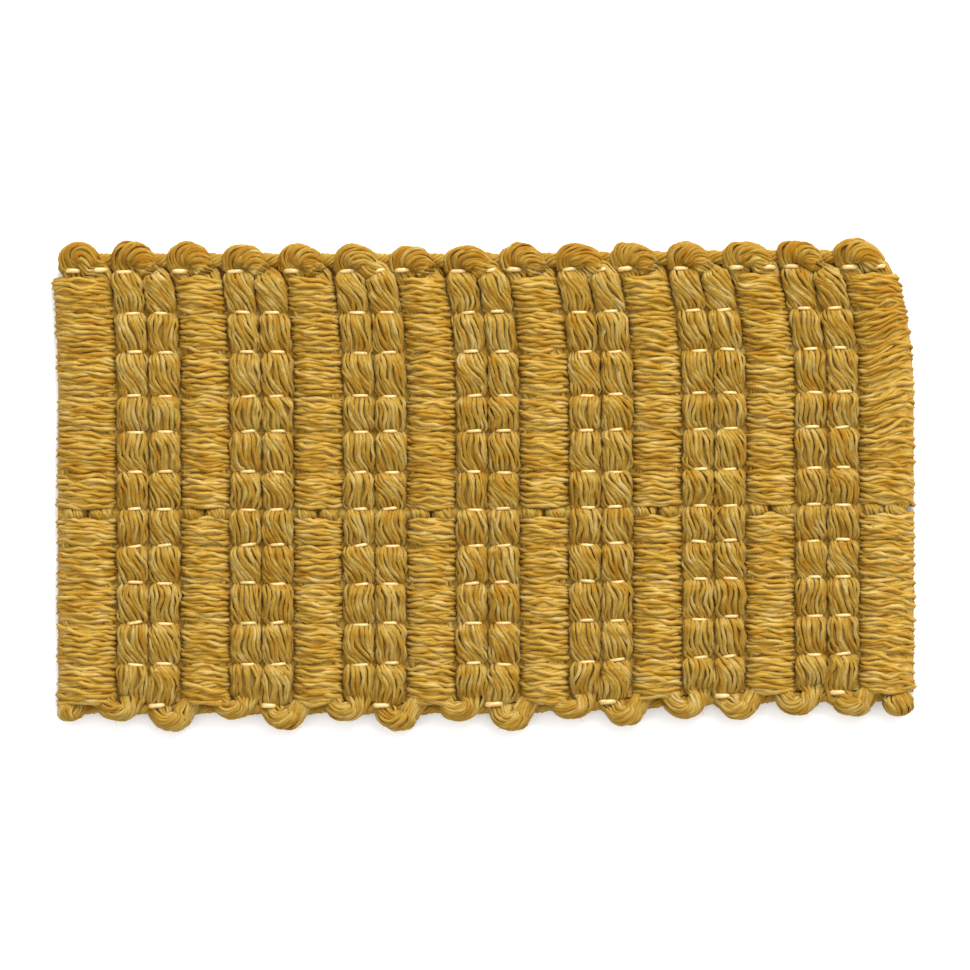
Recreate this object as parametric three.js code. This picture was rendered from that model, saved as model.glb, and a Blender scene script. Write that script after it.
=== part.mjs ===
// A short cut length of decorative webbing, lying flat with its face up.
//
// It is woven in one piece. Thick soft cords run across the tape and fine threads run along it.
// The fine threads float over every second pair of cords, which makes smooth raised ribs. The
// pairs between the ribs stay bare, and binder threads pinch each of their cords into a column
// of beads. Every cord turns back at the two edges, so both edges are a row of rounded loops.
//
// X runs along the tape, Y across it, and Z up from the surface that it lies on. The origin is
// under the middle of the piece.
import * as THREE from 'three';

// Driving dimensions, in millimetres.
const PAIRS = 7;               // pairs of bead columns, with a rib before and after each
const PAIR_PITCH = 11.68;      // from one pair to the next, measured along the tape
const PAIR_WIDTH = 6.56;       // of two bead columns side by side
const MIDDLE_PAIR = 0.3;       // where the middle pair's centre line is
const LEFT_END = -44.1;        // the cut ends, half way across the tape
const RIGHT_END = 44.3;

const TOP_BINDER = 22.1;       // the uppermost binder thread
const ROW_HEIGHTS = [4.34, 4.08, 4.54, 3.62, 4.23, 3.82, 3.72, 3.92, 4.13, 4.18, 4.29];
const TOP_SELVEDGE = 1.8;      // from the first binder thread to the dips between the loops
const BOTTOM_SELVEDGE = 1.2;   // and from the last one
const BAND_ROW = 6;            // under this row's binder the ribs' threads part to show the cords
const BAND_DEPTH = 0.45;

const RIM_HEIGHT = 1.3;        // the widest level of the piece, above the surface
const UNDERCUT = 0.45;         // how far the underside stays inside that level
const SEAM_HEIGHT = 1.45;      // the groove between neighbouring columns
const RIB_RISE = 1.35;         // of a rib over that groove, at a binder
const RIB_SWELL = 0.2;         // and what it gains between two binders
const BEAD_RISE = 0.5;         // of a bead column over the groove, where a binder pinches it
const BEAD_SWELL = 1.2;        // and what a bead gains at its fullest
const LOOP_RISE = 1.25;        // of an edge loop over the rim
const UNEVEN = 0.07;           // how much neighbouring beads differ in height
const END_SWELL = 0.28;        // of the cut ends, between binders
const END_CORNER = 1.3;        // how far their corners are drawn in

// How each loop on an edge reaches past the dips beside it.
const LOOP_REACH = {
  top: { left: 1.35, right: 1.15, sag: 0.25 },      // sag: how much less in the middle
  bottomBig: { left: 1.55, right: 1.2, sag: 0.1 },
  bottomSmall: { left: 0.6, right: 1.05, sag: 0 },
};

// The hand-cut piece isn't square: its upper edge leans, and its rows climb to the right.
const LEAN = { from: 9, bend: 0.0067, share: 1.1, growth: 0.6 };
const RISE = { from: -3.5, to: 38, all: 0.42, bottom: 0.87 };

// Where the surface is sampled, as shares of a column's width and of a row's height.
const COLUMN_STEPS = [0, 0.2, 0.5, 0.8];
const ROW_STEPS = [0, 0.22, 0.72];
const SELVEDGE_STEPS = [0, 0.3, 0.65];
const BEAD_FULLEST = 1.36;     // over 1, a bead is fullest below its middle

const THREAD_GOLD = 0xac853d;

const lerp = THREE.MathUtils.lerp;
const arch = (t) => Math.sqrt(Math.max(0, 4 * t * (1 - t)));

const halfPair = PAIR_WIDTH / 2;
const halfLength = (RIGHT_END - LEFT_END) / 2;
const bottomBinder = TOP_BINDER - ROW_HEIGHTS.reduce((sum, height) => sum + height, 0);
const pairCentre = (k) => MIDDLE_PAIR + (k - (PAIRS - 1) / 2) * PAIR_PITCH;

// The columns from left to right: rib, bead, bead, rib and so on, ending with a rib.
function listColumns() {
  const columns = [];
  let reached = LEFT_END;
  for (let k = 0; k < PAIRS; k += 1) {
    const centre = pairCentre(k);
    columns.push({ kind: 'rib', from: reached, to: centre - halfPair });
    columns.push({ kind: 'bead', from: centre - halfPair, to: centre });
    columns.push({ kind: 'bead', from: centre, to: centre + halfPair });
    reached = centre + halfPair;
  }
  columns.push({ kind: 'rib', from: reached, to: RIGHT_END });
  return columns;
}

// A loop's reach eases from its value at the left end to that at the right one.
function reachAt(shape, x) {
  const t = (x - LEFT_END) / (RIGHT_END - LEFT_END);
  return lerp(shape.left, shape.right, t) - shape.sag * arch(t);
}

// On the upper edge one loop covers each rib, and one covers each pair of bead columns.
function listTopLoops(columns) {
  const edges = [LEFT_END];
  for (let k = 0; k < PAIRS; k += 1) {
    edges.push(pairCentre(k) - halfPair, pairCentre(k) + halfPair);
  }
  edges.push(columns.at(-1).to);
  return edges.slice(1).map((to, i) => {
    const from = edges[i];
    return { from, to, reach: reachAt(LOOP_REACH.top, (from + to) / 2) };
  });
}

// On the lower edge the loops are half a step on. A small one joins a rib to the bead column
// on its right, and a big one joins the next bead column to the next rib.
function listBottomLoops(columns) {
  const ribs = columns.filter((column) => column.kind === 'rib');
  const ribMiddle = (k) => (ribs[k].from + ribs[k].to) / 2;
  const small = reachAt(LOOP_REACH.bottomSmall, LEFT_END);
  const loops = [{ from: LEFT_END, to: ribMiddle(0), reach: small }];
  for (let k = 0; k < PAIRS; k += 1) {
    const spans = [
      { from: ribMiddle(k), to: pairCentre(k), shape: LOOP_REACH.bottomSmall },
      { from: pairCentre(k), to: ribMiddle(k + 1), shape: LOOP_REACH.bottomBig },
    ];
    for (const { from, to, shape } of spans) {
      loops.push({ from, to, reach: reachAt(shape, (from + to) / 2) });
    }
  }
  const last = reachAt(LOOP_REACH.bottomSmall, RIGHT_END);
  loops.push({ from: ribMiddle(PAIRS), to: RIGHT_END, reach: last });
  return loops;
}

// The share of the way across the loop at x, and how far the loop reaches there.
function onLoop(loops, x) {
  const loop = loops.find(({ to }) => x <= to) ?? loops.at(-1);
  const share = (x - loop.from) / (loop.to - loop.from);
  return { share, reach: loop.reach * arch(share) };
}

// Moves a point of the straight weave to where it lies on the piece.
function laidPlace(x, y) {
  const up = Math.max(0, y - LEAN.from);
  const lean = LEAN.bend * up * up * (LEAN.share + (LEAN.growth * x) / halfLength);
  const along = THREE.MathUtils.smoothstep(x, RISE.from, RISE.to);
  const down = THREE.MathUtils.clamp((TOP_BINDER - y) / (TOP_BINDER - bottomBinder), 0, 1);
  return { x: x - lean, y: y + along * (RISE.all + RISE.bottom * down ** 4) };
}

// The surface between two binders: across is the share of the column's width from its left
// side, and down the share of the row's height from its upper binder.
function weaveHeight(station, across, row, down) {
  const round = arch(across);
  const uneven = UNEVEN * Math.sin(1.7 * station.column + 2.3 * row);
  if (station.kind === 'rib') {
    const parted = row === BAND_ROW && down === 0 ? BAND_DEPTH : 0;
    return SEAM_HEIGHT + round * (RIB_RISE + RIB_SWELL * arch(down) - parted);
  }
  const swell = (BEAD_SWELL + uneven) * arch(down ** BEAD_FULLEST);
  return SEAM_HEIGHT + round * (BEAD_RISE + swell);
}

// A loop's surface: inward is 0 on the outline and 1 at the binder beside the loop.
function loopHeight(share, inward) {
  const round = 0.5 + 0.5 * arch(share);
  return RIM_HEIGHT + LOOP_RISE * round * Math.sqrt(1 - (1 - inward) ** 2);
}

// The sampled places along the tape. Each knows its column and its share of the way across.
function listStations(columns) {
  const stations = columns.flatMap(({ kind, from, to }, column) => (
    COLUMN_STEPS.map((across) => ({ x: lerp(from, to, across), across, kind, column }))
  ));
  const last = columns.length - 1;
  stations.push({ x: RIGHT_END, across: 1, kind: columns[last].kind, column: last });
  return stations;
}

// One line of surface points across the tape, from the upper outline to the lower one.
function crossLine(station, topLoops, bottomLoops) {
  const top = onLoop(topLoops, station.x);
  const bottom = onLoop(bottomLoops, station.x);
  const topEdge = TOP_BINDER + TOP_SELVEDGE + top.reach;
  const bottomEdge = bottomBinder - BOTTOM_SELVEDGE - bottom.reach;
  const line = [];
  const add = (y, height) => {
    const place = laidPlace(station.x, y);
    line.push(new THREE.Vector3(place.x, place.y, height));
  };
  for (const inward of SELVEDGE_STEPS) {
    add(lerp(topEdge, TOP_BINDER, inward), loopHeight(top.share, inward));
  }
  let binder = TOP_BINDER;
  ROW_HEIGHTS.forEach((height, row) => {
    for (const down of ROW_STEPS) {
      add(binder - height * down, weaveHeight(station, station.across, row, down));
    }
    binder -= height;
  });
  add(bottomBinder, weaveHeight(station, station.across, ROW_HEIGHTS.length, 0));
  for (const inward of [...SELVEDGE_STEPS].reverse()) {
    add(lerp(bottomEdge, bottomBinder, inward), loopHeight(bottom.share, inward));
  }
  return line;
}

// The cut ends swell a little in each row, where the rib's threads turn over the last cord, and
// they draw in at the corners, where the last loops start.
function shapeEnds(lines) {
  const deep = lines[0].length;
  for (const [line, side] of [[lines[0], -1], [lines.at(-1), 1]]) {
    line.forEach((point, j) => {
      const fromCorner = Math.min(j, deep - 1 - j) / SELVEDGE_STEPS.length;
      const drawn = END_CORNER * Math.max(0, 1 - fromCorner) ** 2;
      const swell = END_SWELL * Math.sin(1.3 * j + side) ** 2;
      point.x += side * (swell * Math.min(1, fromCorner) - drawn);
    });
  }
}

// The solid: the sampled surface, an undercut wall around it, and a flat underside.
function webbingGeometry() {
  const columns = listColumns();
  const topLoops = listTopLoops(columns);
  const bottomLoops = listBottomLoops(columns);
  const lines = listStations(columns).map((s) => crossLine(s, topLoops, bottomLoops));
  shapeEnds(lines);

  const wide = lines.length;
  const deep = lines[0].length;
  const points = lines.flat();
  const at = (i, j) => i * deep + j;
  const faces = [];
  for (let i = 0; i < wide - 1; i += 1) {
    for (let j = 0; j < deep - 1; j += 1) {
      faces.push(at(i, j), at(i, j + 1), at(i + 1, j + 1));
      faces.push(at(i, j), at(i + 1, j + 1), at(i + 1, j));
    }
  }

  // The outline, counterclockwise seen from above, starting at the lower left corner.
  const rim = [];
  for (let i = 0; i < wide - 1; i += 1) rim.push({ i, j: deep - 1, inX: i === 0 ? 1 : 0, inY: 1 });
  for (let j = deep - 1; j > 0; j -= 1) {
    rim.push({ i: wide - 1, j, inX: -1, inY: j === deep - 1 ? 1 : 0 });
  }
  for (let i = wide - 1; i > 0; i -= 1) rim.push({ i, j: 0, inX: i === wide - 1 ? -1 : 0, inY: -1 });
  for (let j = 0; j < deep - 1; j += 1) rim.push({ i: 0, j, inX: 1, inY: j === 0 ? -1 : 0 });

  const underside = rim.map(({ i, j, inX, inY }) => {
    const point = points[at(i, j)];
    return new THREE.Vector3(point.x + UNDERCUT * inX, point.y + UNDERCUT * inY, 0);
  });
  const firstUnder = points.length;
  points.push(...underside);
  rim.forEach(({ i, j }, k) => {
    const next = (k + 1) % rim.length;
    const upper = at(i, j);
    const upperNext = at(rim[next].i, rim[next].j);
    faces.push(upper, firstUnder + k, firstUnder + next);
    faces.push(upper, firstUnder + next, upperNext);
  });
  const outline = underside.map(({ x, y }) => new THREE.Vector2(x, y));
  for (const [a, b, c] of THREE.ShapeUtils.triangulateShape(outline, [])) {
    faces.push(firstUnder + a, firstUnder + c, firstUnder + b);
  }

  const geometry = new THREE.BufferGeometry().setFromPoints(points);
  geometry.setIndex(faces);
  geometry.computeVertexNormals();
  return geometry;
}

const yarn = new THREE.MeshStandardMaterial({ color: THREAD_GOLD, roughness: 0.8, metalness: 0 });
const webbing = new THREE.Mesh(webbingGeometry(), yarn);
webbing.name = 'webbing';

const group = new THREE.Group();
group.add(webbing);

export default group;
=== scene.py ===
"""A cut length of decorative webbing, lying face up on a pale table.

One thick soft cord goes to and fro across the tape, 30 times. Fine warp threads run along the tape.
They float over every second pair of cords, as smooth ribs, and pass under the others. Glossy
binder threads run along it too, at 12 levels, and pinch the bare cords into columns of beads.
Lengths are in millimetres until a mesh is made: X along the tape, Y across it, Z up.
"""

import bpy
import numpy as np
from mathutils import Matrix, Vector


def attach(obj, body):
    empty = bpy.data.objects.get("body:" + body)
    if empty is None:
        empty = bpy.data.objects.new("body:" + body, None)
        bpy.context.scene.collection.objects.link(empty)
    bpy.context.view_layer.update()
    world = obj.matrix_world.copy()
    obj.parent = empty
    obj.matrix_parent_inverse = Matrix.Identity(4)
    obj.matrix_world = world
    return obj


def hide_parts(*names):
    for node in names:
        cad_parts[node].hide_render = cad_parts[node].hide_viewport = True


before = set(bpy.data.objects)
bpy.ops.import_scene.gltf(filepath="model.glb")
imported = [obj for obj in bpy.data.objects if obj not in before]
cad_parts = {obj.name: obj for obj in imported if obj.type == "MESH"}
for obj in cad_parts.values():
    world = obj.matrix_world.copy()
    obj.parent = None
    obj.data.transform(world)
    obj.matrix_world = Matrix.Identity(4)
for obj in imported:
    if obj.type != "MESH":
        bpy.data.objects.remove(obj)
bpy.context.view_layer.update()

MM = 0.001
rng = np.random.default_rng(12)

# The weave's driving dimensions.
PAIRS = 7                  # pairs of bead columns, with a rib before and after each
PAIR_PITCH = 11.68         # from one pair to the next
PAIR_WIDTH = 6.56          # of two bead columns side by side
MIDDLE_PAIR = 0.3          # where the middle pair's centre line is
LEFT_END, RIGHT_END = -44.1, 44.3
TOP_BINDER = 22.1          # the uppermost binder thread
ROW_HEIGHTS = np.array([4.34, 4.08, 4.54, 3.62, 4.23, 3.82, 3.72, 3.92, 4.13, 4.18, 4.29])
BAND_ROW = 6               # the floats part above this row, and leave a bare band
BARE_HEIGHTS = {0: 0.7, BAND_ROW: 0.85}   # how much of a row's upper part has no floats
LEVELS = TOP_BINDER - np.concatenate(([0], np.cumsum(ROW_HEIGHTS)))   # Y of each binder
LOW_BINDER = LEVELS[-1]    # the lowest binder thread
ROWS = len(ROW_HEIGHTS)

# The cord that goes to and fro. A section is half its width, its top and its underside.
CORDS = 4 * PAIRS + 2
BEAD_FULL = np.array([1.71, 3.1, 0.62])
BEAD_PINCHED = np.array([1.44, 2.05, 0.62])   # where the binder holds the cord
FOLDED = np.array([1.0, 1.3, 0.62])           # where it folds in under a turn
RIB_FULL = np.array([1.12, 2.2, 0.0])         # inside a rib
RIB_PINCHED = np.array([1.12, 2.2, 0.75])
TOP_TURN = np.array([1.48, 2.95, 0.3])
BIG_TURN = np.array([1.2, 2.9, 0.25])
SMALL_TURN = np.array([1.12, 2.8, 0.3])
TURN_SQUARE = 0.8          # under 1, a turn is squarer than a circle
TURN_JITTER = 0.09         # how unevenly far the turns reach
RIB_FILL = 0.88            # how much of a rib its two cords fill
RIB_SPREAD = 0.5           # how much further apart a rib's cords are on the upper edge
SPREAD_FROM = 18.0         # the height at which they begin to part
CORNER_SHIFTS = {0: 0.7, 1: 0.8, CORDS - 1: 0.0}   # and how these move instead, at the corners
BAND_RISE = 0.65           # how much higher a rib's cords stand in the bare band
BAND_NOTCH = 0.5           # how far the last cord draws in there

# The strands that the cord is twisted from.
STRANDS = 18               # on the outside of the cord
STRAND_RADIUS = 0.3
LEFT_SLANT, RIGHT_SLANT = 0.35, 0.55      # how far a strand drifts sideways, for each mm along
TURN_SLANT = 0.7
HAIRS = 1000               # loose fibres

# The cord that lies along each edge.
EDGE_STRANDS, EDGE_STRAND_RADIUS = 8, 0.26
EDGE_SAMPLES = 170

# The fine threads that run along the tape, and the binder.
WARP_PLY = 0.225           # the radius of one of a thread's two plies
WARP_TWIST = 0.75          # how far the plies turn for each mm, in radians
WARP_PITCH = 0.6
FLOAT_TOP = 2.72           # the centre of a float at a rib's crest
WARP_LOW = 0.33            # and of the thread under a pair of bead columns
ROW_GAP = 0.06             # half the gap between two rows of floats
ROWS_PER_PIECE = 3
BINDER_RADIUS = 0.16
BINDER_FLAT = 1.2          # it is wider than it is thick
EDGE_BINDER = 1.35         # how much thicker it is along the edges
BINDER_LOW = 0.4           # its centre where it passes under a cord
# On the upper edge the right leg of most loops is folded over its binder, and hides it.
SHOWN_RIGHT_LEGS = [1, 11, 15, 19, 25, 29]

# The hand-cut piece isn't square: its upper edge leans, and its rows climb to the right.
LEAN_FROM, LEAN_BEND, LEAN_SHARE, LEAN_GROWTH = 9.0, 0.0067, 1.1, 0.6
RISE_FROM, RISE_TO, RISE_ALL, RISE_BOTTOM = -3.5, 38.0, 0.42, 0.87


def smooth_step(x, low, high):
    """0 below low and 1 above high, eased between them by t squared times (3 - 2t)."""
    t = np.clip((x - low) / (high - low), 0, 1)
    return t * t * (3 - 2 * t)


def hump(t, power):
    """1 half way and 0 at both ends: one less |2t - 1| to the power."""
    return 1 - np.abs(2 * np.clip(t, 0, 1) - 1) ** power


def laid(x, y):
    """Where a point of the straight weave lies: X leans left with the square of its height over
    LEAN_FROM, and Y climbs to the right, most at the lower edge."""
    half = (RIGHT_END - LEFT_END) / 2
    up = np.maximum(0, y - LEAN_FROM)
    lean = LEAN_BEND * up**2 * (LEAN_SHARE + LEAN_GROWTH * x / half)
    down = np.clip((TOP_BINDER - y) / (TOP_BINDER - LOW_BINDER), 0, 1)
    climb = smooth_step(x, RISE_FROM, RISE_TO) * (RISE_ALL + RISE_BOTTOM * down**4)
    return x - lean, y + climb


def wander(count, along, wave, size):
    """Smooth unevenness for count threads: the sum of three sines, with wavelengths of wave mm
    and 0.61 and 0.37 of it. Every thread has its own phases, and stretches them a little."""
    usual_peak = 1.7
    total = np.zeros((count, len(along)))
    for share in (1.0, 0.61, 0.37):
        phase = rng.uniform(0, 2 * np.pi, (count, 1))
        stretch = rng.uniform(0.85, 1.15, (count, 1))
        total += np.sin(2 * np.pi * along / (wave * share) * stretch + phase)
    return size * total / usual_peak


def pair_centre(k):
    """The X of the line between the two bead columns of pair k."""
    return MIDDLE_PAIR + (k - (PAIRS - 1) / 2) * PAIR_PITCH


def rib_edges(k):
    """The left and right side of rib k."""
    left = LEFT_END if k == 0 else pair_centre(k - 1) + PAIR_WIDTH / 2
    right = RIGHT_END if k == PAIRS else pair_centre(k) - PAIR_WIDTH / 2
    return left, right


def cord_places():
    """The 30 cords' X, and which of them show as beads: two in each rib, two in each pair."""
    places, beads = [], []
    for k in range(PAIRS + 1):
        left, right = rib_edges(k)
        middle, aside = (left + right) / 2, RIB_FILL * (right - left) / 4
        places += [middle - aside, middle + aside]
        beads += [False, False]
        if k < PAIRS:
            places += [pair_centre(k) - PAIR_WIDTH / 4, pair_centre(k) + PAIR_WIDTH / 4]
            beads += [True, True]
    return np.array(places), np.array(beads)


CORD_X, IS_BEAD = cord_places()
HALF_WIDTHS = np.where(IS_BEAD, BEAD_FULL[0], RIB_FULL[0])
# The two outermost ribs are wider than the others, and so are the cords inside them.
for outer_rib, its_cords in ((0, [0, 1]), (PAIRS, [-2, -1])):
    HALF_WIDTHS[its_cords] = RIB_FILL * np.ptp(rib_edges(outer_rib)) / 4
# Where the binder shows: over the beads. On the upper edge it shows over each loop's left leg
# and a few right ones. On the lower edge the small turns hide it over each pair's left column.
SHOWN = np.repeat(IS_BEAD[:, None], ROWS + 1, axis=1)
SHOWN[:, 0] = True
SHOWN[1::2, 0] = False
SHOWN[SHOWN_RIGHT_LEGS, 0] = True
SHOWN[2::4, ROWS] = False


# Shapes from arrays.

def tube_faces(tubes, rings, sides):
    """Quads between neighbouring rings of each tube, as vertex numbers."""
    k, i, j = np.meshgrid(np.arange(tubes), np.arange(rings - 1), np.arange(sides), indexing="ij")
    first = (k * rings + i) * sides
    here, beside = first + j, first + (j + 1) % sides
    return np.stack([here, beside, beside + sides, here + sides], -1).reshape(-1, 4)


def tube_map(tubes, rings, sides, strips):
    """A UV for each corner of each quad. The tubes are cut into strips that lie side by side: U
    runs around a tube inside its strip, and V along it, with a margin around each strip."""
    side_margin, end_margin = 0.06, 0.004
    k, i, j = np.meshgrid(np.arange(tubes), np.arange(rings - 1), np.arange(sides), indexing="ij")
    length = int(np.ceil((rings - 1) / strips))
    strip = k * strips + i // length
    corner_j = np.stack([j, j + 1, j + 1, j], -1)
    corner_i = np.stack([i, i, i + 1, i + 1], -1) - (i // length * length)[..., None]
    u = strip[..., None] + side_margin + (1 - 2 * side_margin) * corner_j / sides
    u = u / (tubes * strips)
    v = end_margin + (1 - 2 * end_margin) * corner_i / length
    return np.stack([u, v], -1).reshape(-1, 2)


def tube_caps(tubes, rings, sides):
    """Triangles from each tube's first and last ring to the points that close it. Those points
    are numbered after all the rings, two for each tube."""
    k, j = np.arange(tubes)[:, None], np.arange(sides)
    after = (j + 1) % sides
    tip = tubes * rings * sides + 2 * k
    first = k * rings * sides
    last = first + (rings - 1) * sides
    start = np.stack(np.broadcast_arrays(tip, first + after, first + j), -1)
    end = np.stack(np.broadcast_arrays(tip + 1, last + j, last + after), -1)
    return np.concatenate([start, end]).reshape(-1, 3)


def add_mesh(name, points, quads, caps, fields, uv):
    """An object from points in mm, quads and triangle caps, with a value for each point in each
    field, and a UV for each corner of each quad. Its place is in its mesh."""
    mesh = bpy.data.meshes.new(name)
    corners = np.concatenate([quads.ravel(), caps.ravel()])
    sizes = np.concatenate([np.full(len(quads), 4), np.full(len(caps), 3)])
    mesh.vertices.add(len(points))
    mesh.vertices.foreach_set("co", (points * MM).astype(np.float32).ravel())
    mesh.loops.add(len(corners))
    mesh.loops.foreach_set("vertex_index", corners.astype(np.int32))
    mesh.polygons.add(len(sizes))
    starts = np.concatenate(([0], np.cumsum(sizes)[:-1])).astype(np.int32)
    mesh.polygons.foreach_set("loop_start", starts)
    mesh.polygons.foreach_set("use_smooth", np.ones(len(sizes), bool))
    for field, values in fields.items():
        kind, key = ("FLOAT_VECTOR", "vector") if values.ndim == 2 else ("FLOAT", "value")
        stored = mesh.attributes.new(field, kind, "POINT")
        stored.data.foreach_set(key, values.astype(np.float32).ravel())
    every_uv = np.zeros((len(corners), 2), np.float32)
    every_uv[: len(uv)] = uv
    mesh.uv_layers.new(name="OFBake").data.foreach_set("uv", every_uv.ravel())
    mesh.update(calc_edges=True)
    mesh.validate()
    piece = bpy.data.objects.new(name, mesh)
    bpy.context.collection.objects.link(piece)
    return piece


def unit(v):
    """Each vector at length 1."""
    return v / np.maximum(np.linalg.norm(v, axis=-1, keepdims=True), 1e-9)


FIBRE_TWIST = 0.9          # how far the fibres turn for each mm along a thread, in radians
FIBRE_SHIFT = 9.7          # how far the next thread is moved on along their pattern


def tubes(name, centres, radii, side_way, sides, flatten=1.0, tint=None, strips=1):
    """Round threads. centres is (threads, samples, 3), radii (threads, samples), and side_way a
    vector that each ring turns its first corner towards. A ring is the centre plus the radius
    times the cosine on that side, times flatten, and the sine across it, both square to the
    thread's run. Each end closes with a point. The field fibre is a round section that turns
    along the thread, and the length along it. The field tint is one number for each thread, or
    for each of its samples. strips is how many strips of the UV map a thread takes."""
    count, rings, _ = centres.shape
    run = unit(np.gradient(centres, axis=1))
    side = unit(side_way - run * np.sum(side_way * run, -1, keepdims=True))
    over = np.cross(run, side)
    turn = 2 * np.pi * np.arange(sides) / sides
    ring = radii[..., None, None] * (
        np.cos(turn)[:, None] * side[:, :, None] * np.asarray(flatten)[..., None, None]
        + np.sin(turn)[:, None] * over[:, :, None]
    )
    points = centres[:, :, None] + ring
    steps = np.linalg.norm(np.diff(centres, axis=1), axis=-1)
    along = np.concatenate([np.zeros((count, 1)), np.cumsum(steps, 1)], 1)
    angle = turn + FIBRE_TWIST * along[..., None]
    length = along[..., None] + FIBRE_SHIFT * np.arange(count)[:, None, None]
    fibre = np.stack(
        [
            radii[..., None] * np.cos(angle),
            radii[..., None] * np.sin(angle),
            np.broadcast_to(length, angle.shape),
        ],
        -1,
    )
    tint = rng.uniform(0, 1, count) if tint is None else tint
    shade = np.broadcast_to(np.asarray(tint).reshape(count, -1)[:, :, None], (count, rings, sides))
    ends = centres[:, [0, -1]].reshape(-1, 3)
    fields = {
        "fibre": np.concatenate([fibre.reshape(-1, 3), fibre[:, [0, -1], 0].reshape(-1, 3)]),
        "tint": np.concatenate([shade.reshape(-1), shade[:, [0, -1], 0].reshape(-1)]),
    }
    return add_mesh(
        name,
        np.concatenate([points.reshape(-1, 3), ends]),
        tube_faces(count, rings, sides),
        tube_caps(count, rings, sides),
        fields,
        tube_map(count, rings, sides, strips),
    )


# The cord's own line.

# The cord's samples in a row, as shares of the way down it, and in a turn.
ROW_SHARES = np.array([0, 0.05, 0.11, 0.19, 0.32, 0.46, 0.6, 0.74, 0.86, 0.94])
TURN_STEPS = 15
SAMPLE_GAP = 0.15          # the least room between such a sample and the end of a leg
# The shares at which the cord has swelled to its full width, begins to narrow, and is narrow.
SWELLED, NARROWING, NARROWED = 0.2, 0.84, 1.02
HELD_UP = 1.17             # how much sooner it is low and narrow where a small turn lies over it


def row_of(y):
    """The row that y is in, counted from the top, and its share of the way down that row."""
    row = np.clip(np.searchsorted(-LEVELS, -y, side="right") - 1, 0, ROWS - 1)
    return row, np.clip((LEVELS[row] - y) / ROW_HEIGHTS[row], 0, 1)


def leg_section(c, y):
    """Half the width, the top and the underside of cord c at y. The cord is pinched under a
    binder, swells at once below it, keeps its width, and slopes down to the next binder with the
    square of the way."""
    full, pinched = (BEAD_FULL, BEAD_PINCHED) if IS_BEAD[c] else (RIB_FULL, RIB_PINCHED)
    row, down = row_of(y)
    if c % 4 == 2:
        # A small turn lies over the last of this cord, and holds it higher up.
        down = np.where(row == ROWS - 1, np.minimum(down * HELD_UP, 1), down)
    start = 1 - smooth_step(down, 0, SWELLED)
    if c % 2 and not SHOWN[c, 0]:
        below_fold = 1 - smooth_step(y, TOP_BINDER - 0.75, TOP_BINDER - 0.15)
        pinched = FOLDED + (pinched - FOLDED) * below_fold[:, None]
    narrow = np.maximum(start, smooth_step(down, NARROWING, NARROWED) ** 1.6)
    low = np.maximum(start, down**2)
    share = np.stack([narrow, low, low], -1)
    section = full + (pinched - full) * share
    if not IS_BEAD[c]:
        # A rib's cord widens a little towards the upper edge.
        section[:, 0] = HALF_WIDTHS[c] + 0.25 * smooth_step(y, 20.5, TOP_BINDER)
        # Where no thread floats over it, it stands up as high as the floats do.
        bare = smooth_step(down, 0, 0.08) * (1 - smooth_step(down, 0.16, 0.3))
        section[:, 1] += BAND_RISE * bare * (row == BAND_ROW)
    return section


def cord_x(c, y):
    """A cord's X. The two cords inside a rib draw apart towards the upper edge, and the
    outermost ones round the tape's corners there."""
    side = 1 if c % 2 else -1
    apart = 0 if IS_BEAD[c] else side * RIB_SPREAD
    apart = CORNER_SHIFTS.get(c, apart)
    x = CORD_X[c] + apart * smooth_step(y, SPREAD_FROM, TOP_BINDER)
    if c % 2:
        # A turn pulls the cord that comes down from it to the left.
        pull = 0.2 if SHOWN[c, 0] else 0.45
        x = x - pull * smooth_step(y, TOP_BINDER - 1.8, TOP_BINDER - 0.2)
    if c % 4 == 3:
        # So does the big turn that this cord runs down into.
        pull = 0.5
        x = x - pull * (1 - smooth_step(y, LOW_BINDER - 0.3, LOW_BINDER + 3.8))
    if c == CORDS - 1:
        # Where no float holds it out, the last cord leaves a notch in the tape's outline.
        below = LEVELS[BAND_ROW] - y
        x = x - BAND_NOTCH * smooth_step(below, -0.1, 0.15) * (1 - smooth_step(below, 0.75, 1.1))
    return x


def turn_between(c, edge):
    """The turn from cord c to the next one, on the upper (1) or lower (-1) edge: its kind's
    section, how far its outline goes past the binder, how far above the binder it leaves one cord
    and reaches the next, how far its two ends are moved along the tape, and the angle that it
    turns through. The turns change along the tape, with t, the share of the way to the right."""
    t = (CORD_X[c] - LEFT_END) / (RIGHT_END - LEFT_END)
    if edge > 0:
        reach = 3.2 - 0.2 * t - 0.25 * hump(t, 2)
        heights = 0.15, 0.15
        shifts = -0.25 - 0.1 * t, (-1.1 + 0.8 * t if SHOWN[c + 1, 0] else -0.7)
        return TOP_TURN, reach, heights, shifts, np.radians(175)
    if IS_BEAD[c]:
        reach = 2.75 - 0.2 * t
        heights = -0.1, -0.85
        shifts = 0.05 + 0.5 * t * t, -1.15
        return BIG_TURN, reach, heights, shifts, np.radians(140)
    reach = 1.65 + 0.75 * smooth_step(t, 0.55, 0.75)
    heights = 0.9, 0.3
    shifts = 0.6 - 0.5 * t, -0.2 + 0.4 * t
    return SMALL_TURN, reach, heights, shifts, np.radians(140)


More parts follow.
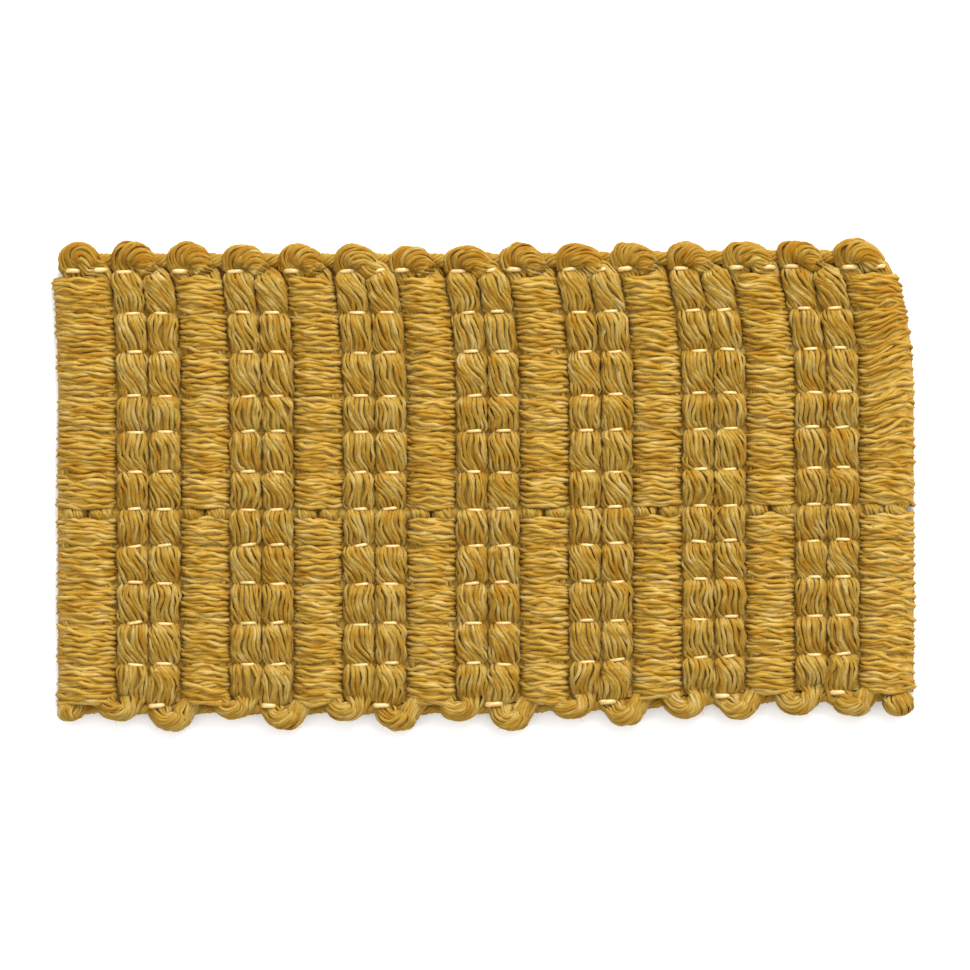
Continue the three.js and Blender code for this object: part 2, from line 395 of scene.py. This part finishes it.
def cord_line():
    """The whole cord as rows of X, Y, half width, top, underside and slant. It goes up a cord,
    turns, comes down the next, and so on to the right end. A turn is part of a squared ellipse: X
    goes with one less the cosine of the angle, Y with its sine up to the outline and back, each
    to the power TURN_SQUARE. It stays thick to its end, and narrows to the next leg's start."""
    every_y = np.append((LEVELS[:-1, None] - ROW_HEIGHTS[:, None] * ROW_SHARES).ravel(), LOW_BINDER)
    jitter = rng.normal(0, TURN_JITTER, CORDS)
    parts = [cut_end(0, aside=-0.6, length=1.45, wide=1.35)[::-1]]
    start = LOW_BINDER - CUT_DROP
    for c in range(CORDS):
        edge = 1 if c % 2 == 0 else -1
        last = c == CORDS - 1
        turn, reach, (leave, join), (aside_from, aside_to), sweep = turn_between(
            min(c, CORDS - 2), edge)
        level = TOP_BINDER if edge > 0 else LOW_BINDER
        end = level - CUT_DROP if last else level + leave
        lower, upper = min(start, end), max(start, end)
        y = every_y[(every_y > lower + SAMPLE_GAP) & (every_y < upper - SAMPLE_GAP)]
        y = np.concatenate(([upper], y, [lower]))[::-edge]
        slant = np.full(len(y), LEFT_SLANT if c % 2 == 0 else RIGHT_SLANT)
        parts.append(np.column_stack([cord_x(c, y), y, leg_section(c, y), slant]))
        if last:
            break
        # Where the next leg starts.
        start = level + (-0.25 if edge > 0 else 0.85)
        t = np.linspace(0, sweep, TURN_STEPS)[1:]
        square = np.sign(np.cos(t)) * np.abs(np.cos(t)) ** TURN_SQUARE
        share = (1 - square) / (1 - square[-1])
        x_from = cord_x(c, np.array(end)) + aside_from
        x_to = cord_x(c + 1, np.array(start)) + aside_to
        x = x_from + (x_to - x_from) * share
        peak = level + edge * (reach + jitter[c] - turn[0])
        high = np.sin(t) ** TURN_SQUARE
        out = end + (peak - end) * high
        back = peak + (level + join - peak) * (1 - high) / (1 - high[-1])
        y = np.where(t < np.pi / 2, out, back)
        ends = leg_section(c, np.array([end])), leg_section(c + 1, np.array([start]))
        section = ends[0] + (ends[1] - ends[0]) * share[:, None]
        full = np.where(t < np.pi / 2, np.sin(t) ** 0.7, 1 - 0.3 * share**8)
        section = section + (turn - section) * full[:, None]
        # The strands wind tighter where the turn folds in over the binder.
        folded = edge > 0 and not SHOWN[c + 1, 0]
        slant = TURN_SLANT * (1 + 2.2 * folded * share**1.5)
        parts.append(np.column_stack([x, y, section, slant]))
    parts.append(cut_end(CORDS - 1, aside=0.0, length=2.2, wide=1.7))
    return np.concatenate(parts).T


CUT_DROP = 0.1             # how far below the lowest binder a cut end begins


def cut_end(c, aside, length, wide):
    """A cut end of cord c below the lowest binder. Half its width is wide for half its length,
    and then rounds off as a circle does to a narrow tip. Its height goes with its width."""
    tip = 0.25
    t = np.array([0.25, 0.45, 0.65, 0.82, 0.94, 1.0])
    y = LOW_BINDER - CUT_DROP - length * t
    half = tip + (wide - tip) * np.sqrt(1 - (2 * np.maximum(t, 0.5) - 1) ** 2)
    top, under = 1.45 + 0.9 * half, np.maximum(1.35 - 0.7 * half, 0.1)
    x = cord_x(c, y) + aside * smooth_step(t, 0, 0.5)
    return np.column_stack([x, y, half, top, under, np.full(len(t), TURN_SLANT)])


SECTION_SQUARE = 0.68      # under 1, a cord's section is squarer than an ellipse
CORE_DEPTH = 0.7           # how far the core stays inside the cord, in radii of a strand


def wound(line, strands, size, full_half):
    """The strands of a cord that follows the line. A strand's angle around the cord falls with
    the twist so far. Its place is the cord's line plus half the width times the cosine to the
    left, at half the height times the sine, to a power that squares the section. Where the cord
    narrows, so do its strands: size is their radius where half the cord's width is full_half.
    Gives their lines, radii and ways outwards, and the core's line, half width and half height."""
    x, y, half, top, under, slant = line
    run = np.stack([np.gradient(x), np.gradient(y)], -1)
    step = np.linalg.norm(run, axis=-1)
    run /= step[:, None]
    along = np.cumsum(step)
    left = np.stack([-run[:, 1], run[:, 0]], -1)
    bend = np.gradient(np.unwrap(np.arctan2(run[:, 1], run[:, 0]))) / step
    # The real turns go to the right on the upper edge and to the left on the lower.
    bend = np.where((bend < 0) == (y > 0), bend, 0)
    phase = np.cumsum(slant / half * step) + wander(1, along, wave=14.0, size=0.4)[0]
    angle = 2 * np.pi * np.arange(strands)[:, None] / strands - phase
    angle = angle + wander(strands, along, wave=11.0, size=0.12)
    narrowed = 0.45 + 0.55 * np.minimum(half / full_half, 1)
    radius = size * narrowed * (1 + wander(strands, along, wave=5.0, size=0.2))
    depth = 1 + wander(strands, along, wave=5.0, size=0.09)
    across = (half - radius) * np.cos(angle) * depth
    # Inside a tight turn the strands bunch up, and don't cross its centre.
    nearly_straight = 1e-6
    room = 0.95 / np.maximum(np.abs(bend), nearly_straight)
    inward = across * np.sign(bend) > 0
    across = np.where(inward, np.sign(across) * room * np.tanh(np.abs(across) / room), across)
    middle, high = (top + under) / 2, (top - under) / 2
    rise = np.sin(angle)
    place_x, place_y = laid(x + left[:, 0] * across, y + left[:, 1] * across)
    place_z = middle + (high - radius) * np.sign(rise) * np.abs(rise) ** SECTION_SQUARE * depth
    centres = np.stack([place_x, place_y, np.maximum(place_z, radius)], -1)
    outward = centres - np.stack([*laid(x, y), middle], -1)
    # The core's reach outside a turn, its reach inside it, and its half height. Where the cord
    # thins, its core thins two samples earlier, and stays covered.
    inside = CORE_DEPTH * size * narrowed
    reach = np.stack([half, np.minimum(half, 1.5 * room), high]) - inside
    for _ in range(2):
        reach = np.minimum(reach, np.minimum(np.roll(reach, 1, 1), np.roll(reach, -1, 1)))
    for _ in range(2):
        reach[1:, 1:-1] = (reach[1:, :-2] + 2 * reach[1:, 1:-1] + reach[1:, 2:]) / 4
    thinnest = 0.1
    outer, inner, core_high = np.maximum(reach, thinnest)
    # It lies off the cord's line by half of what its two reaches differ.
    shift = np.where(y > 0, 1, -1) * (outer - inner) / 2
    core = np.stack([*laid(x + left[:, 0] * shift, y + left[:, 1] * shift), middle], -1)
    return centres, radius, outward, core[None], (outer + inner)[None] / 2, core_high[None]


def edge_line(y, half, top, under):
    """The cord that lies along an edge behind the turns, and shows in the dips between them. It
    swings a little with each loop, by a sine. Its rows are those of cord_line."""
    short_of_end, swing, slant = 2.2, 0.12, 0.9
    x = np.linspace(LEFT_END + short_of_end, RIGHT_END - short_of_end, EDGE_SAMPLES)
    wave = swing * np.sin(x * 2 * np.pi / (PAIR_PITCH / 2))
    ones = np.ones_like(x)
    return x, y + wave, half * ones, top * ones, under * ones, slant * ones


# The threads along the tape.

# A thread's two ends are tucked into the tape: these shares of this length, from its ends.
TUCK_SHARES, TUCK_LENGTH = np.array([[1.0], [0.6], [0.2]]), 1.5


def warp_line(float_steps=22, under_steps=8, inset=0.02):
    """One thread's run along the tape: X, height share (1 over a rib, 0 under a pair) and the
    share of the way across a rib, or -1 under a pair. Over a rib it is a full round arch: X goes
    with the cosine of the angle, and the height with its sine, each to a power just under 1."""
    parts = []
    for k in range(PAIRS + 1):
        left, right = rib_edges(k)
        t = np.linspace(0, np.pi, float_steps)
        half = (right - left) / 2 - inset
        cos = np.cos(t)
        x = (left + right) / 2 - half * np.sign(cos) * np.abs(cos) ** 0.95
        parts.append(np.stack([x, np.sin(t) ** 0.9, t / np.pi], -1))
        if k < PAIRS:
            u = np.linspace(-1, 1, under_steps)[1:-1]
            x = pair_centre(k) + u * (PAIR_WIDTH / 2 - 0.2)
            parts.append(np.stack([x, 0 * u, 0 * u - 1], -1))
    low = np.tile([0.0, -1.0], (len(TUCK_SHARES), 1))
    start = np.hstack([LEFT_END + 0.05 + TUCK_LENGTH * TUCK_SHARES, low])
    end = np.hstack([RIGHT_END - 0.05 - TUCK_LENGTH * TUCK_SHARES[::-1], low])
    return np.concatenate([start, *parts, end]).T


EVEN_PAST = 41.0           # how far from the middle a row's threads stop drawing together
FAN_RISE = 1.8             # how far the threads at the right end climb
PILLOW_DROP = 0.34         # how much lower a row's first and last threads lie


def crest_and_gather(x, across):
    """How near a thread is to a rib's crest, and how far a row's threads spread there. They don't
    draw together near the tape's two ends."""
    crest = np.where(across >= 0, np.sin(np.pi * np.clip(across, 0, 1)), 0.6)
    return crest, np.where(np.abs(x) > EVEN_PAST, 1, 0.86 + 0.14 * crest)


def row_limits(row):
    """The upper and lower end of the floats in a row."""
    bare = BARE_HEIGHTS.get(row, 0.0)
    return LEVELS[row] - bare - ROW_GAP, LEVELS[row] - ROW_HEIGHTS[row] + ROW_GAP


def warp_threads():
    """Centre lines of all the threads that run along the tape, and their rows. In a row the
    threads spread evenly over a rib's crest and draw together at its sides. They wander, so that
    slim dark gaps open between them, most of all in the handled rib at the right end."""
    x, rise, across = warp_line()
    starts, rows = [], []
    for row in range(ROWS):
        upper, lower = row_limits(row)
        count = int(round((upper - lower) / WARP_PITCH))
        shares = (np.arange(count) + 0.5) / count
        starts += list(upper - shares * (upper - lower))
        rows += [(row, share, (upper + lower) / 2) for share in shares]
    row, share, middle = (np.array(part)[:, None] for part in zip(*rows))
    y0 = np.array(starts)[:, None]
    count = len(starts)
    crest, gather = crest_and_gather(x, across)
    # In that rib the threads of the upper half fan out upwards.
    loose = smooth_step(x, RIGHT_END - 5, RIGHT_END - 0.5)
    height = smooth_step(y0, 0, 6) * (1 - smooth_step(y0, 15, 20))
    slope = FAN_RISE * loose * height
    uneven = wander(count, x, wave=8.0, size=0.12) * (1 + loose)
    y = middle + (y0 - middle) * gather + uneven + slope
    pillow = PILLOW_DROP * (1 - hump(share, 2.2)) * crest
    uneven = wander(count, x, wave=6.0, size=0.1) * rise
    z = WARP_LOW + (FLOAT_TOP - WARP_LOW) * rise - pillow + uneven
    # The threads don't turn at quite the same X at the tape's ends.
    ragged = rng.normal(0, 0.06, (count, 1))
    x = x + np.sign(x) * smooth_step(np.abs(x), 42, 44) * ragged
    place_x, place_y = laid(x, y)
    return np.stack([place_x, place_y, np.maximum(z, 2 * WARP_PLY)], -1), row[:, 0]


PLY_OFFSET = 0.75          # of a ply's radius, from the thread's line to the ply's


def plies(centres, size, twist):
    """Two plies that wind around each thread: its line plus and minus PLY_OFFSET of a ply's
    radius, times the cosine of the twist sideways and the sine of it across. The twist is
    uneven, and starts at random."""
    run = unit(np.gradient(centres, axis=1))
    side = unit(np.array([0, 1, 0]) - run * run[..., 1:2])
    over = np.cross(run, side)
    steps = np.linalg.norm(np.diff(centres, axis=1), axis=-1)
    along = np.concatenate([np.zeros((len(centres), 1)), np.cumsum(steps, 1)], 1)
    first_angle = rng.uniform(0, np.pi, (len(centres), 1))
    angle = twist * along + first_angle + wander(len(centres), along[0], wave=5.0, size=0.5)
    around = np.cos(angle)[..., None] * side + np.sin(angle)[..., None] * over
    offset = PLY_OFFSET * size * around
    both = np.concatenate([centres + offset, centres - offset])
    both[..., 2] = np.maximum(both[..., 2], size)
    return both


def binder_threads():
    """Centre lines of the binder, one for each level. It lies flat over each bead and dives at
    its sides, and passes under the ribs' cords. On the upper edge it goes over more of them. Its
    height over a cord is the root of one less the share of the way out to the fifth power."""
    lines = []
    u = np.array([-1, -0.93, -0.84, -0.7, -0.4, 0, 0.4, 0.7, 0.84, 0.93, 1])
    arch = (1 - np.abs(u) ** 5) ** 0.5
    for level, y in enumerate(LEVELS):
        xs, ys, zs = [], [], []
        for c in range(CORDS):
            shown = SHOWN[c, level]
            half = rng.normal(0.84, 0.05) if IS_BEAD[c] else 0.8
            cord_top = BEAD_PINCHED[1] if IS_BEAD[c] else RIB_PINCHED[1]
            crest = cord_top + 0.1 if shown else BINDER_LOW
            shift = (0.2 * (c % 4 == 2) + rng.normal(0, 0.08)) * shown
            if level == 0:
                # It lies a little to the left over each loop's left leg.
                shift = -0.2 * (c % 2 == 0)
            if level == ROWS and shown:
                # The big turns pull it left, most of all in the middle of the tape.
                t = c / CORDS
                shift = -0.15 - 0.4 * hump(t, 2) + 0.25 * t * t
            xs.append(cord_x(c, np.full(len(u), y)) + u * half + shift)
            ys.append(y + rng.normal(0, 0.07) + u * rng.normal(0.02, 0.05))
            zs.append(BINDER_LOW + (crest - BINDER_LOW) * arch)
        lines.append(np.stack([np.concatenate(part) for part in (xs, ys, zs)], -1))
    lines = np.array(lines)
    lines[..., 0], lines[..., 1] = laid(lines[..., 0], lines[..., 1])
    return lines


HAIR_RADIUS = 0.024
HAIR_LOW, HAIR_HIGH = 0.03, 3.15   # they stay above the table, and about as low as the beads


def hairs(points, outward, count):
    """Centre lines and radii of loose fibres. Each starts at a random point of the strands,
    leaves outwards and to a random side, bends with the square of its length, and thins out."""
    pick = rng.integers(0, len(points), count)
    start, way = points[pick], unit(outward[pick])
    side = unit(rng.normal(size=(count, 3)))
    length = rng.uniform(0.25, 0.75, (count, 1, 1))
    t = np.linspace(0, 1, 5)[None, :, None]
    first = unit(0.5 * way + side)[:, None]
    second = unit(rng.normal(size=(count, 3)))[:, None]
    centres = start[:, None] + length * (t * first + 0.5 * t**2 * second)
    centres[..., 2] = np.clip(centres[..., 2], HAIR_LOW, HAIR_HIGH)
    return centres, HAIR_RADIUS * (1 - 0.7 * t[..., 0]) * np.ones((count, 1))


# Materials.

def linear(code):
    """A hex sRGB colour as linear RGBA."""
    s = np.array([int(code[i:i + 2], 16) for i in (1, 3, 5)]) / 255
    return (*np.where(s <= 0.04045, s / 12.92, ((s + 0.055) / 1.055) ** 2.4), 1.0)


def node(tree, kind, inputs=None, **settings):
    """Adds a node with its settings. inputs gives, for an input's name or number, its value or
    the output that it is linked to."""
    made = tree.nodes.new(kind)
    for key, value in settings.items():
        setattr(made, key, value)
    for key, value in (inputs or {}).items():
        if isinstance(value, bpy.types.NodeSocket):
            tree.links.new(value, made.inputs[key])
        else:
            made.inputs[key].default_value = value
    return made


def new_material(name):
    """A material with its node tree and its main shader."""
    material = bpy.data.materials.new(name)
    material.use_nodes = True
    tree = material.node_tree
    return material, tree, tree.nodes["Principled BSDF"]


def yarn_material(name, dark, body, light, rough, sheen):
    """Soft low-twist yarn, dyed in the hank. The fibres make fine streaks that wind along each
    strand, and the dye differs a little from strand to strand and along it."""
    material, tree, shader = new_material(name)
    fibre = node(tree, "ShaderNodeAttribute", attribute_name="fibre").outputs["Vector"]
    tint = node(tree, "ShaderNodeAttribute", attribute_name="tint").outputs["Fac"]
    # Streaks 0.15 mm apart and about 2 mm long: real fibres are finer than the picture shows.
    stretch = node(tree, "ShaderNodeMapping", {"Vector": fibre, "Scale": (7.0, 7.0, 0.55)})
    streak = node(tree, "ShaderNodeTexNoise", {
        "Vector": stretch.outputs[0], "Scale": 1.0, "Detail": 3.0, "Roughness": 0.6}).outputs[0]
    # Patches of 1 to 2 mm, where the yarn took the dye a little more or less.
    place = node(tree, "ShaderNodeTexCoord").outputs["Object"]
    patch = node(tree, "ShaderNodeTexNoise", {"Vector": place, "Scale": 600.0, "Detail": 3.0})
    # How much the streaks, the strand's own tint and the patches count in the colour.
    streak_share, tint_share, patch_share = 0.45, 0.1, 0.28
    streaked = node(tree, "ShaderNodeMath", {0: streak, 1: streak_share}, operation="MULTIPLY")
    tinted = node(tree, "ShaderNodeMath", {
        0: tint, 1: tint_share, 2: streaked.outputs[0]}, operation="MULTIPLY_ADD")
    mixed = node(tree, "ShaderNodeMath", {
        0: patch.outputs[0], 1: patch_share, 2: tinted.outputs[0]}, operation="MULTIPLY_ADD")
    ramp = node(tree, "ShaderNodeValToRGB", {"Fac": mixed.outputs[0]})
    stops = ramp.color_ramp.elements
    stops[0].position, stops[0].color = 0.3, linear(dark)
    stops[1].position, stops[1].color = 0.57, linear(light)
    stops.new(0.43).color = linear(body)
    tree.links.new(ramp.outputs[0], shader.inputs["Base Color"])
    bump = node(tree, "ShaderNodeBump", {"Height": streak, "Strength": 0.25, "Distance": 0.00005})
    tree.links.new(bump.outputs[0], shader.inputs["Normal"])
    uneven = 0.12
    gloss = node(tree, "ShaderNodeMapRange", {
        "Value": streak, "To Min": rough + uneven, "To Max": rough - uneven})
    tree.links.new(gloss.outputs[0], shader.inputs["Roughness"])
    shader.inputs["Sheen Weight"].default_value = sheen
    shader.inputs["Sheen Roughness"].default_value = 0.45
    shader.inputs["Sheen Tint"].default_value = linear("#f6e4c4")
    shader.inputs["Specular IOR Level"].default_value = 0.1
    return material


def inner_material(name, colour):
    """Yarn inside the tape, which shows only as the darker bottom of the gaps."""
    material, _, shader = new_material(name)
    shader.inputs["Base Color"].default_value = linear(colour)
    shader.inputs["Roughness"].default_value = 0.95
    return material


def lint_material():
    """Single fibres that stand off the yarn, pale where the light comes through them."""
    material, _, shader = new_material("lint_loose_fibre")
    shader.inputs["Base Color"].default_value = linear("#b08b40")
    shader.inputs["Roughness"].default_value = 0.8
    return material


def binder_material():
    """Fine bright nylon thread: pale, a little clear, and much glossier than the soft yarns."""
    material, tree, shader = new_material("binder_bright_nylon")
    fibre = node(tree, "ShaderNodeAttribute", attribute_name="fibre").outputs["Vector"]
    stretch = node(tree, "ShaderNodeMapping", {"Vector": fibre, "Scale": (5.0, 5.0, 1.4)})
    streak = node(tree, "ShaderNodeTexNoise", {"Vector": stretch.outputs[0], "Scale": 1.0})
    ramp = node(tree, "ShaderNodeValToRGB", {"Fac": streak.outputs[0]})
    stops = ramp.color_ramp.elements
    stops[0].position, stops[0].color = 0.3, linear("#b49150")
    stops[1].position, stops[1].color = 0.62, linear("#cbae72")
    tree.links.new(ramp.outputs[0], shader.inputs["Base Color"])
    gloss = node(tree, "ShaderNodeMapRange", {
        "Value": streak.outputs[0], "To Min": 0.2, "To Max": 0.34})
    tree.links.new(gloss.outputs[0], shader.inputs["Roughness"])
    shader.inputs["IOR"].default_value = 1.53
    shader.inputs["Specular IOR Level"].default_value = 0.5
    return material


def table_material():
    """A plain matt white table top."""
    material, _, shader = new_material("table_matt_white")
    shader.inputs["Base Color"].default_value = linear("#fafafa")
    shader.inputs["Roughness"].default_value = 0.9
    return material


cord_yarn = yarn_material(
    "cord_cotton_mustard", dark="#815506", body="#907229", light="#aa945e", rough=0.78, sheen=0.07)
thread_yarn = yarn_material(
    "warp_viscose_mustard", dark="#8a5e08", body="#9e7d2e", light="#b3995f", rough=0.7, sheen=0.07)
# Painted shade: the inner layer is real yarn, but its darker, redder colour paints the shade at the
# bottom of the gaps.
inner_yarn_painted_shade = inner_material("inner_cotton_shaded", "#784803")
core_yarn = inner_material("core_cotton_mustard", "#8b691b")
lint, nylon = lint_material(), binder_material()


def finish_piece(piece, material):
    """Gives a piece its material, and puts it on the tape's body in place of the plain solid."""
    piece.data.materials.append(material)
    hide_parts("webbing")
    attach(piece, "root")
    return piece


def make_cord():
    """The cord's strands in four pieces, the core that they are wound on, and the loose fibres
    that stand off them."""
    line = cord_line()
    centres, radius, outward, core, core_half, core_high = wound(
        line, STRANDS, STRAND_RADIUS, BEAD_FULL[0])
    # Painted shade: the turns on the upper edge are painted a shade darker than the rest of the
    # cord.
    tint = rng.uniform(0, 1, (STRANDS, 1)) - 0.5 * smooth_step(line[1], TOP_BINDER, TOP_BINDER + 1)
    made = []
    for n, part in enumerate(np.array_split(np.arange(STRANDS), 4)):
        name = f"cord_strands_{n + 1}"
        piece = tubes(
            name, centres[part], radius[part], outward[part], sides=4, flatten=0.75,
            tint=tint[part], strips=16)
        made.append(finish_piece(piece, cord_yarn))
    up = np.broadcast_to([0.0, 0.0, 1.0], core.shape)
    piece = tubes("cord_core", core, core_half, up, sides=8, flatten=core_high / core_half)
    made.append(finish_piece(piece, core_yarn))
    # A hair starts inside its strand, at this share of the strand's radius.
    root_share = 0.8
    roots = centres + unit(outward) * radius[..., None] * root_share
    lines, thin = hairs(roots.reshape(-1, 3), outward.reshape(-1, 3), HAIRS)
    up = np.broadcast_to([0.1, 0.2, 1.0], lines.shape)
    made.append(finish_piece(tubes("loose_fibres", lines, thin, up, sides=3), lint))
    return made


def make_edge_cords():
    """The cords behind the turns on both edges. Their dark colour is painted shade, as dark as the
    shaded dips that they show in.
    """
    lines = [
        edge_line(TOP_BINDER + 1.05, half=0.8, top=1.9, under=0.2),
        edge_line(LOW_BINDER - 0.35, half=0.62, top=1.7, under=0.2),
    ]
    wounds = [wound(line, EDGE_STRANDS, EDGE_STRAND_RADIUS, line[2][0])[:3] for line in lines]
    centres, radius, outward = (np.concatenate(part) for part in zip(*wounds))
    # Painted shade: a low tint paints these cords as dark as the shaded dips.
    dark = np.full(len(centres), 0.2)
    piece = tubes("edge_cords", centres, radius, outward, sides=4, tint=dark)
    return finish_piece(piece, cord_yarn)


def make_warp():
    """The threads along the tape, three rows to a piece. A ply is thick and thin in turn."""
    centres, rows = warp_threads()
    made = []
    for n, first in enumerate(range(0, ROWS, ROWS_PER_PIECE)):
        in_piece = (rows >= first) & (rows < first + ROWS_PER_PIECE)
        both = plies(centres[in_piece], WARP_PLY, WARP_TWIST)
        along = np.arange(both.shape[1]) * 0.3
        radius = WARP_PLY * (1 + wander(len(both), along, wave=3.3, size=0.12))
        # The corner at the upper right is a shade darker.
        corner = smooth_step(both[..., 0], 38, 41) * smooth_step(both[..., 1], 8, 18)
        tint = rng.uniform(0, 1, (len(both), 1)) - 0.6 * corner
        across = np.broadcast_to([0.0, 1.0, 0.0], both.shape)
        name = f"warp_threads_{n + 1}"
        piece = tubes(name, both, radius, across, sides=4, flatten=1.1, tint=tint)
        made.append(finish_piece(piece, thread_yarn))
    return made


def make_binder():
    """The binder threads, one piece. The ones along the two edges are thicker."""
    lines = binder_threads()
    radius = np.full(lines.shape[:2], BINDER_RADIUS)
    radius[[0, -1]] *= EDGE_BINDER
    across = np.broadcast_to([0.0, 1.0, 0.0], lines.shape)
    piece = tubes("binder_threads", lines, radius, across, sides=6, flatten=BINDER_FLAT)
    return finish_piece(piece, nylon)


def slab(name, x, y, face, low):
    """A closed sheet: a grid of points at the height face, the same grid at the height low, and
    a wall around them. X grows along the grid's first axis, and Y falls along its second. Its
    fibres run along X. The UV lays face and back side by side."""
    wide, deep = x.shape
    i, j = np.meshgrid(np.arange(wide - 1), np.arange(deep - 1), indexing="ij")
    a = (i * deep + j).ravel()
    upper = np.stack([a, a + 1, a + 1 + deep, a + deep], -1)
    lower = upper[:, ::-1] + wide * deep
    rim = np.concatenate([
        np.arange(wide) * deep,
        (wide - 1) * deep + np.arange(1, deep),
        np.arange(wide - 2, -1, -1) * deep + deep - 1,
        np.arange(deep - 2, 0, -1),
    ])
    after = np.roll(rim, -1)
    wall = np.stack([rim + wide * deep, after + wide * deep, after, rim], -1)
    points = np.stack([x, y, face], -1).reshape(-1, 3)
    points = np.concatenate([points, points * [1, 1, 0] + [0, 0, low]])
    quads = np.concatenate([upper, lower, wall])
    back, place = np.divmod(quads, wide * deep)
    margin = 0.02
    u = margin + (0.5 - 2 * margin) * (place // deep) / wide + 0.5 * back
    v = margin + (1 - 2 * margin) * (place % deep) / deep
    fields = {"fibre": points[:, [1, 2, 0]], "tint": np.full(len(points), 0.5)}
    no_caps = np.zeros((0, 3), int)
    return add_mesh(name, points, quads, no_caps, fields, np.stack([u, v], -1).reshape(-1, 2))


def make_bed():
    """The layer that the floats lie on: their own arch, with a groove from row to row. It fills
    the slim gaps between the floats, and is low where the cords are bare."""
    tucks = len(TUCK_SHARES)
    x, rise, across = warp_line(float_steps=15, under_steps=5, inset=0.12)[:, tucks:-tucks]
    shares = np.array([0, 0.08, 0.5, 0.92, 1])
    grooves = [0.4, 0.15, 0, 0.15, 0.4]
    # Where the cords are bare it drops by more than the arch, down to this height.
    far_down, bare_floor = 3, 1.5
    ys, middles, drops = [], [], []
    for row in range(ROWS):
        upper, lower = row_limits(row)
        above = upper + 2 * ROW_GAP
        bare = {0: [above], BAND_ROW: [LEVELS[row], above]}.get(row, [])
        ys += bare + list(upper - shares * (upper - lower))
        drops += [far_down] * len(bare) + grooves
        middles += [(upper + lower) / 2] * (len(bare) + len(shares))
    y0, middle, drop = (np.array(part)[None, :] for part in (ys, middles, drops))
    crest, gather = (part[:, None] for part in crest_and_gather(x, across))
    y = middle + (y0 - middle) * gather
    arch = WARP_LOW + (FLOAT_TOP - WARP_LOW) * rise[:, None] - drop * crest
    # Elsewhere it goes down to a valley between the ribs, which is deeper at the tape's ends.
    valley = 1.3 - 0.45 * smooth_step(np.abs(x), 42.5, 43.5)[:, None]
    face = np.maximum(arch, np.where(drop == far_down, bare_floor, valley))
    # At those ends it reaches out nearly as far as the floats.
    x = x + np.sign(x) * 0.17 * smooth_step(np.abs(x), 43, 44)
    # Its two upper corners are round, and it has the notch at the right end.
    drawn_in = (np.arange(y.shape[1]) == 0) | ((drop == far_down) & (x[:, None] > 0))
    inward = 0.8 * drawn_in * np.sign(x)[:, None]
    x = x[:, None] - inward * smooth_step(np.abs(x), 41.5, 44)[:, None]
    x, y = laid(x, y)
    return finish_piece(slab("float_bed", x, y, face, low=0.6), thread_yarn)


def make_ground():
    """The inner layer of the tape: a thin flat sheet, a little inside the outline. Its darker
    colour is painted shade for the bottom of the gaps.
    """
    xs = np.linspace(LEFT_END + 1.3, RIGHT_END - 1.3, 60)
    ys = np.linspace(TOP_BINDER + 0.4, LOW_BINDER - 0.1, 30)
    x, y = laid(*np.meshgrid(xs, ys, indexing="ij"))
    return finish_piece(slab("inner_layer", x, y, face=np.full_like(x, 1.1), low=0.7), inner_yarn_painted_shade)


cord_pieces = make_cord()
warp_pieces = make_warp()
binder_piece = make_binder()
edge_piece = make_edge_cords()
bed_piece = make_bed()
ground = make_ground()


# The table, the light and the camera.

IMAGE_WIDTH, MM_PER_PIXEL = 970, 0.10325
LENS, SENSOR = 180.0, 36.0
RIB_HEIGHT = 2 * MM        # the picture's scale holds at this height


def make_stage():
    """A table top 3 m wide. It isn't part of the webbing."""
    half = 1.5
    mesh = bpy.data.meshes.new("table")
    corners = [(-half, -half, 0), (half, -half, 0), (half, half, 0), (-half, half, 0)]
    mesh.from_pydata(corners, [], [(0, 1, 2, 3)])
    table = bpy.data.objects.new("table", mesh)
    mesh.materials.append(table_material())
    bpy.context.collection.objects.link(table)


def add_lamp(name, place, size, power):
    """A square area lamp, in metres and watts, that faces the middle of the tape."""
    data = bpy.data.lights.new(name, "AREA")
    data.size, data.energy = size, power
    lamp = bpy.data.objects.new(name, data)
    lamp.location = place
    towards = -Vector(place)
    lamp.rotation_euler = towards.to_track_quat("-Z", "Y").to_euler()
    bpy.context.collection.objects.link(lamp)


def make_camera():
    """Straight above, with a long lens, framing 100 mm at the height of the ribs."""
    data = bpy.data.cameras.new("camera")
    data.lens, data.sensor_width = LENS, SENSOR
    framed = IMAGE_WIDTH * MM_PER_PIXEL * MM
    camera = bpy.data.objects.new("camera", data)
    camera.location = (0, 0, framed * LENS / SENSOR + RIB_HEIGHT)
    data.clip_start, data.clip_end = 0.01, 10
    bpy.context.collection.objects.link(camera)
    bpy.context.scene.camera = camera


def light_room(strength):
    """Even white light from all around."""
    world = bpy.data.worlds.new("room")
    world.use_nodes = True
    background = world.node_tree.nodes["Background"]
    background.inputs["Color"].default_value = (1, 1, 1, 1)
    background.inputs["Strength"].default_value = strength
    bpy.context.scene.world = world
    bpy.context.scene.view_settings.view_transform = "Standard"


make_stage()
add_lamp("window_light", place=(0.2, 0.62, 0.4), size=0.5, power=10.2)
light_room(1.3)
make_camera()
